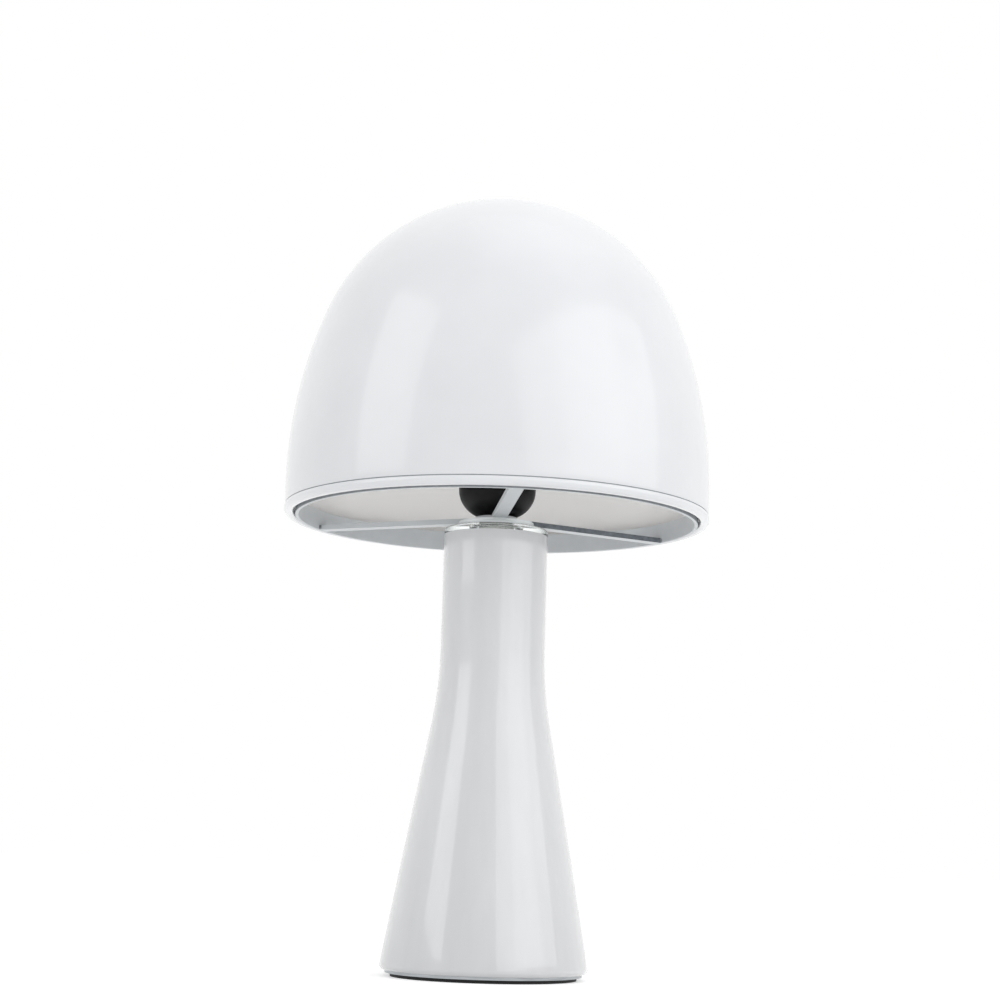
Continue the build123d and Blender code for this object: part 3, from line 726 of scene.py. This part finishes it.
def make_camera():
    """The photograph's view from below the rim: aimed at its middle, then panned, tilted and rolled."""
    below = math.radians(CAMERA_BELOW)
    place = Vector((0, -math.cos(below), -math.sin(below))) * CAMERA_DISTANCE
    ahead = -place.normalized()
    right = Vector((1, 0, 0))
    up = right.cross(ahead)
    ahead, right = turned(ahead, up, -CAMERA_PAN), turned(right, up, -CAMERA_PAN)
    ahead, up = turned(ahead, right, CAMERA_TILT), turned(up, right, CAMERA_TILT)
    right, up = turned(right, ahead, CAMERA_ROLL), turned(up, ahead, CAMERA_ROLL)
    lens = bpy.data.cameras.new("camera")
    lens.sensor_width = SENSOR_WIDTH
    lens.lens = FOCAL_PX / FRAME_PX * SENSOR_WIDTH
    lens.clip_start, lens.clip_end = CLIP_NEAR, CLIP_FAR
    camera = bpy.data.objects.new("camera", lens)
    bpy.context.scene.collection.objects.link(camera)
    axes = Matrix((right, up, -ahead)).transposed().to_4x4()
    camera.matrix_world = Matrix.Translation((place + Vector((0, 0, RIM_Z))) * MM) @ axes
    bpy.context.scene.camera = camera


def softbox(name, azimuth, spread, low, high, light, shine):
    """A tilted soft panel, placed by the angles under which the lamp sees it, azimuth from the front
    to the right. One light gives its even light, a second one what gloss mirrors of it."""
    middle, half = math.radians((low + high) / 2), math.radians((high - low) / 2)
    turn = Matrix.Rotation(math.radians(azimuth), 4, "Z") @ Matrix.Rotation(math.pi / 2 - middle, 4, "X")
    for part, radiance in (("light", light), ("shine", shine)):
        lamp = bpy.data.lights.new(name + "_" + part, "AREA")
        lamp.shape = "RECTANGLE"
        lamp.size = 2 * LIGHT_DISTANCE * math.tan(math.radians(spread) / 2)
        lamp.size_y = 2 * LIGHT_DISTANCE * math.tan(half)
        lamp.energy = AREA_POWER * radiance * lamp.size * lamp.size_y
        panel = bpy.data.objects.new(lamp.name, lamp)
        bpy.context.scene.collection.objects.link(panel)
        panel.visible_glossy = part == "shine"
        panel.visible_diffuse = part == "light"
        away = LIGHT_DISTANCE - SHINE_GAP * (part == "shine")
        # it hangs above the lamp, is swung down to the front and then round to its azimuth
        aim = Matrix.Translation((0, 0, LIGHT_CENTRE))
        panel.matrix_world = aim @ turn @ Matrix.Translation((0, 0, away))


def fill_light(name, height, size, radiance):
    """A weak light across the lamp's axis that faces up, at a height and of a size in mm."""
    lamp = bpy.data.lights.new(name, "AREA")
    lamp.size = size * MM
    lamp.energy = AREA_POWER * radiance * lamp.size ** 2
    panel = bpy.data.objects.new(lamp.name, lamp)
    bpy.context.scene.collection.objects.link(panel)
    panel.visible_glossy = panel.visible_transmission = panel.visible_camera = False
    panel.matrix_world = Matrix.Translation((0, 0, height * MM)) @ Matrix.Rotation(math.pi, 4, "X")


def by_ray(tree, spread, seen):
    """Two light levels: one is seen by the eye, in gloss and through glass, the other lights
    surfaces."""
    rays = add(tree, "ShaderNodeLightPath").outputs
    looks = rays["Is Camera Ray"]
    for other in ("Is Glossy Ray", "Is Transmission Ray"):
        both = add(tree, "ShaderNodeMath", {0: looks, 1: rays[other]}, operation="ADD", use_clamp=True)
        looks = both.outputs[0]
    return add(tree, "ShaderNodeMix", {"Factor": looks, 2: spread, 3: seen}).outputs[0]


def make_floor():
    """A pale floor, white but for the lamp's shadow. It gives off less light close under the lamp."""
    mesh = bpy.data.meshes.new("floor")
    signs = ((-1, -1), (1, -1), (1, 1), (-1, 1))
    mesh.from_pydata([(x * FLOOR_SIZE, y * FLOOR_SIZE, 0) for x, y in signs], [], [(0, 1, 2, 3)])
    floor = bpy.data.objects.new("floor", mesh)
    bpy.context.scene.collection.objects.link(floor)
    made, tree = material("white_paper_sweep")
    place = add(tree, "ShaderNodeTexCoord").outputs["Object"]
    colour, _ = shades(tree, place, 5, "#DFDFDF", "#E3E3E3")
    away = add(tree, "ShaderNodeVectorMath", {0: place}, operation="LENGTH")
    fill = add(tree, "ShaderNodeMapRange", {
        "Value": away.outputs["Value"], "From Min": PATCH_R, "From Max": PATCH_END,
        "To Min": PATCH_FILL, "To Max": FLOOR_FILL}, interpolation_type="SMOOTHSTEP")
    paper = add(tree, "ShaderNodeBsdfPrincipled", {
        "Base Color": colour, "Roughness": 0.9, "Specular IOR Level": 0.0,
        "Emission Color": linear("#FFFFFF"),
        "Emission Strength": by_ray(tree, fill.outputs["Result"], FLOOR_GLOW)})
    # seen from below, the sweep isn't there and the foot shows
    mix = add(tree, "ShaderNodeMixShader", {
        0: add(tree, "ShaderNodeNewGeometry").outputs["Backfacing"], 1: paper.outputs["BSDF"],
        2: add(tree, "ShaderNodeBsdfTransparent").outputs["BSDF"]})
    add(tree, "ShaderNodeOutputMaterial", {"Surface": mix.outputs["Shader"]})
    mesh.materials.append(made)


def make_world():
    """A white studio: pure white where it is seen, and an even pale room to what it lights."""
    world = bpy.data.worlds.new("studio")
    bpy.context.scene.world = world
    world.use_nodes = True
    tree = world.node_tree
    tree.nodes.clear()
    way = add(tree, "ShaderNodeTexCoord").outputs["Generated"]
    ahead = add(tree, "ShaderNodeSeparateXYZ", {"Vector": way}).outputs["Y"]
    room = add(tree, "ShaderNodeMapRange", {
        "Value": ahead, "From Min": -ROOM_FADE, "From Max": ROOM_FADE,
        "To Min": ROOM_FRONT, "To Max": ROOM_BACK})
    sky = add(tree, "ShaderNodeBackground", {
        "Color": linear("#FFFFFF"), "Strength": by_ray(tree, room.outputs["Result"], WHITE)})
    add(tree, "ShaderNodeOutputWorld", {"Surface": sky.outputs["Background"]})


make_camera()
make_floor()
make_world()
# the left light is narrow, the right one wide with a bright core, as the bands on the dome show
softbox("left_box", azimuth=-62, spread=30, low=4, high=46, light=0.12, shine=0.85)
softbox("right_box", azimuth=52, spread=76, low=1, high=46, light=0.30, shine=0.65)
softbox("right_core", azimuth=52, spread=34, low=1, high=44, light=0.10, shine=0.3)
softbox("top_box", azimuth=80, spread=40, low=62, high=102, light=1.05, shine=0.1)
# white lacquer and clear glass pass more light on than the few bounces of a render follow
fill_light("inside_fill", RIM_Z + INSIDE_ABOVE_RIM, INSIDE_SIZE, INSIDE_LIGHT)
fill_light("glass_fill", top_of("clear_top") + GLASS_FILL_ABOVE, GLASS_FILL_SIZE, GLASS_FILL_LIGHT)

bpy.context.scene.view_settings.view_transform = "Standard"
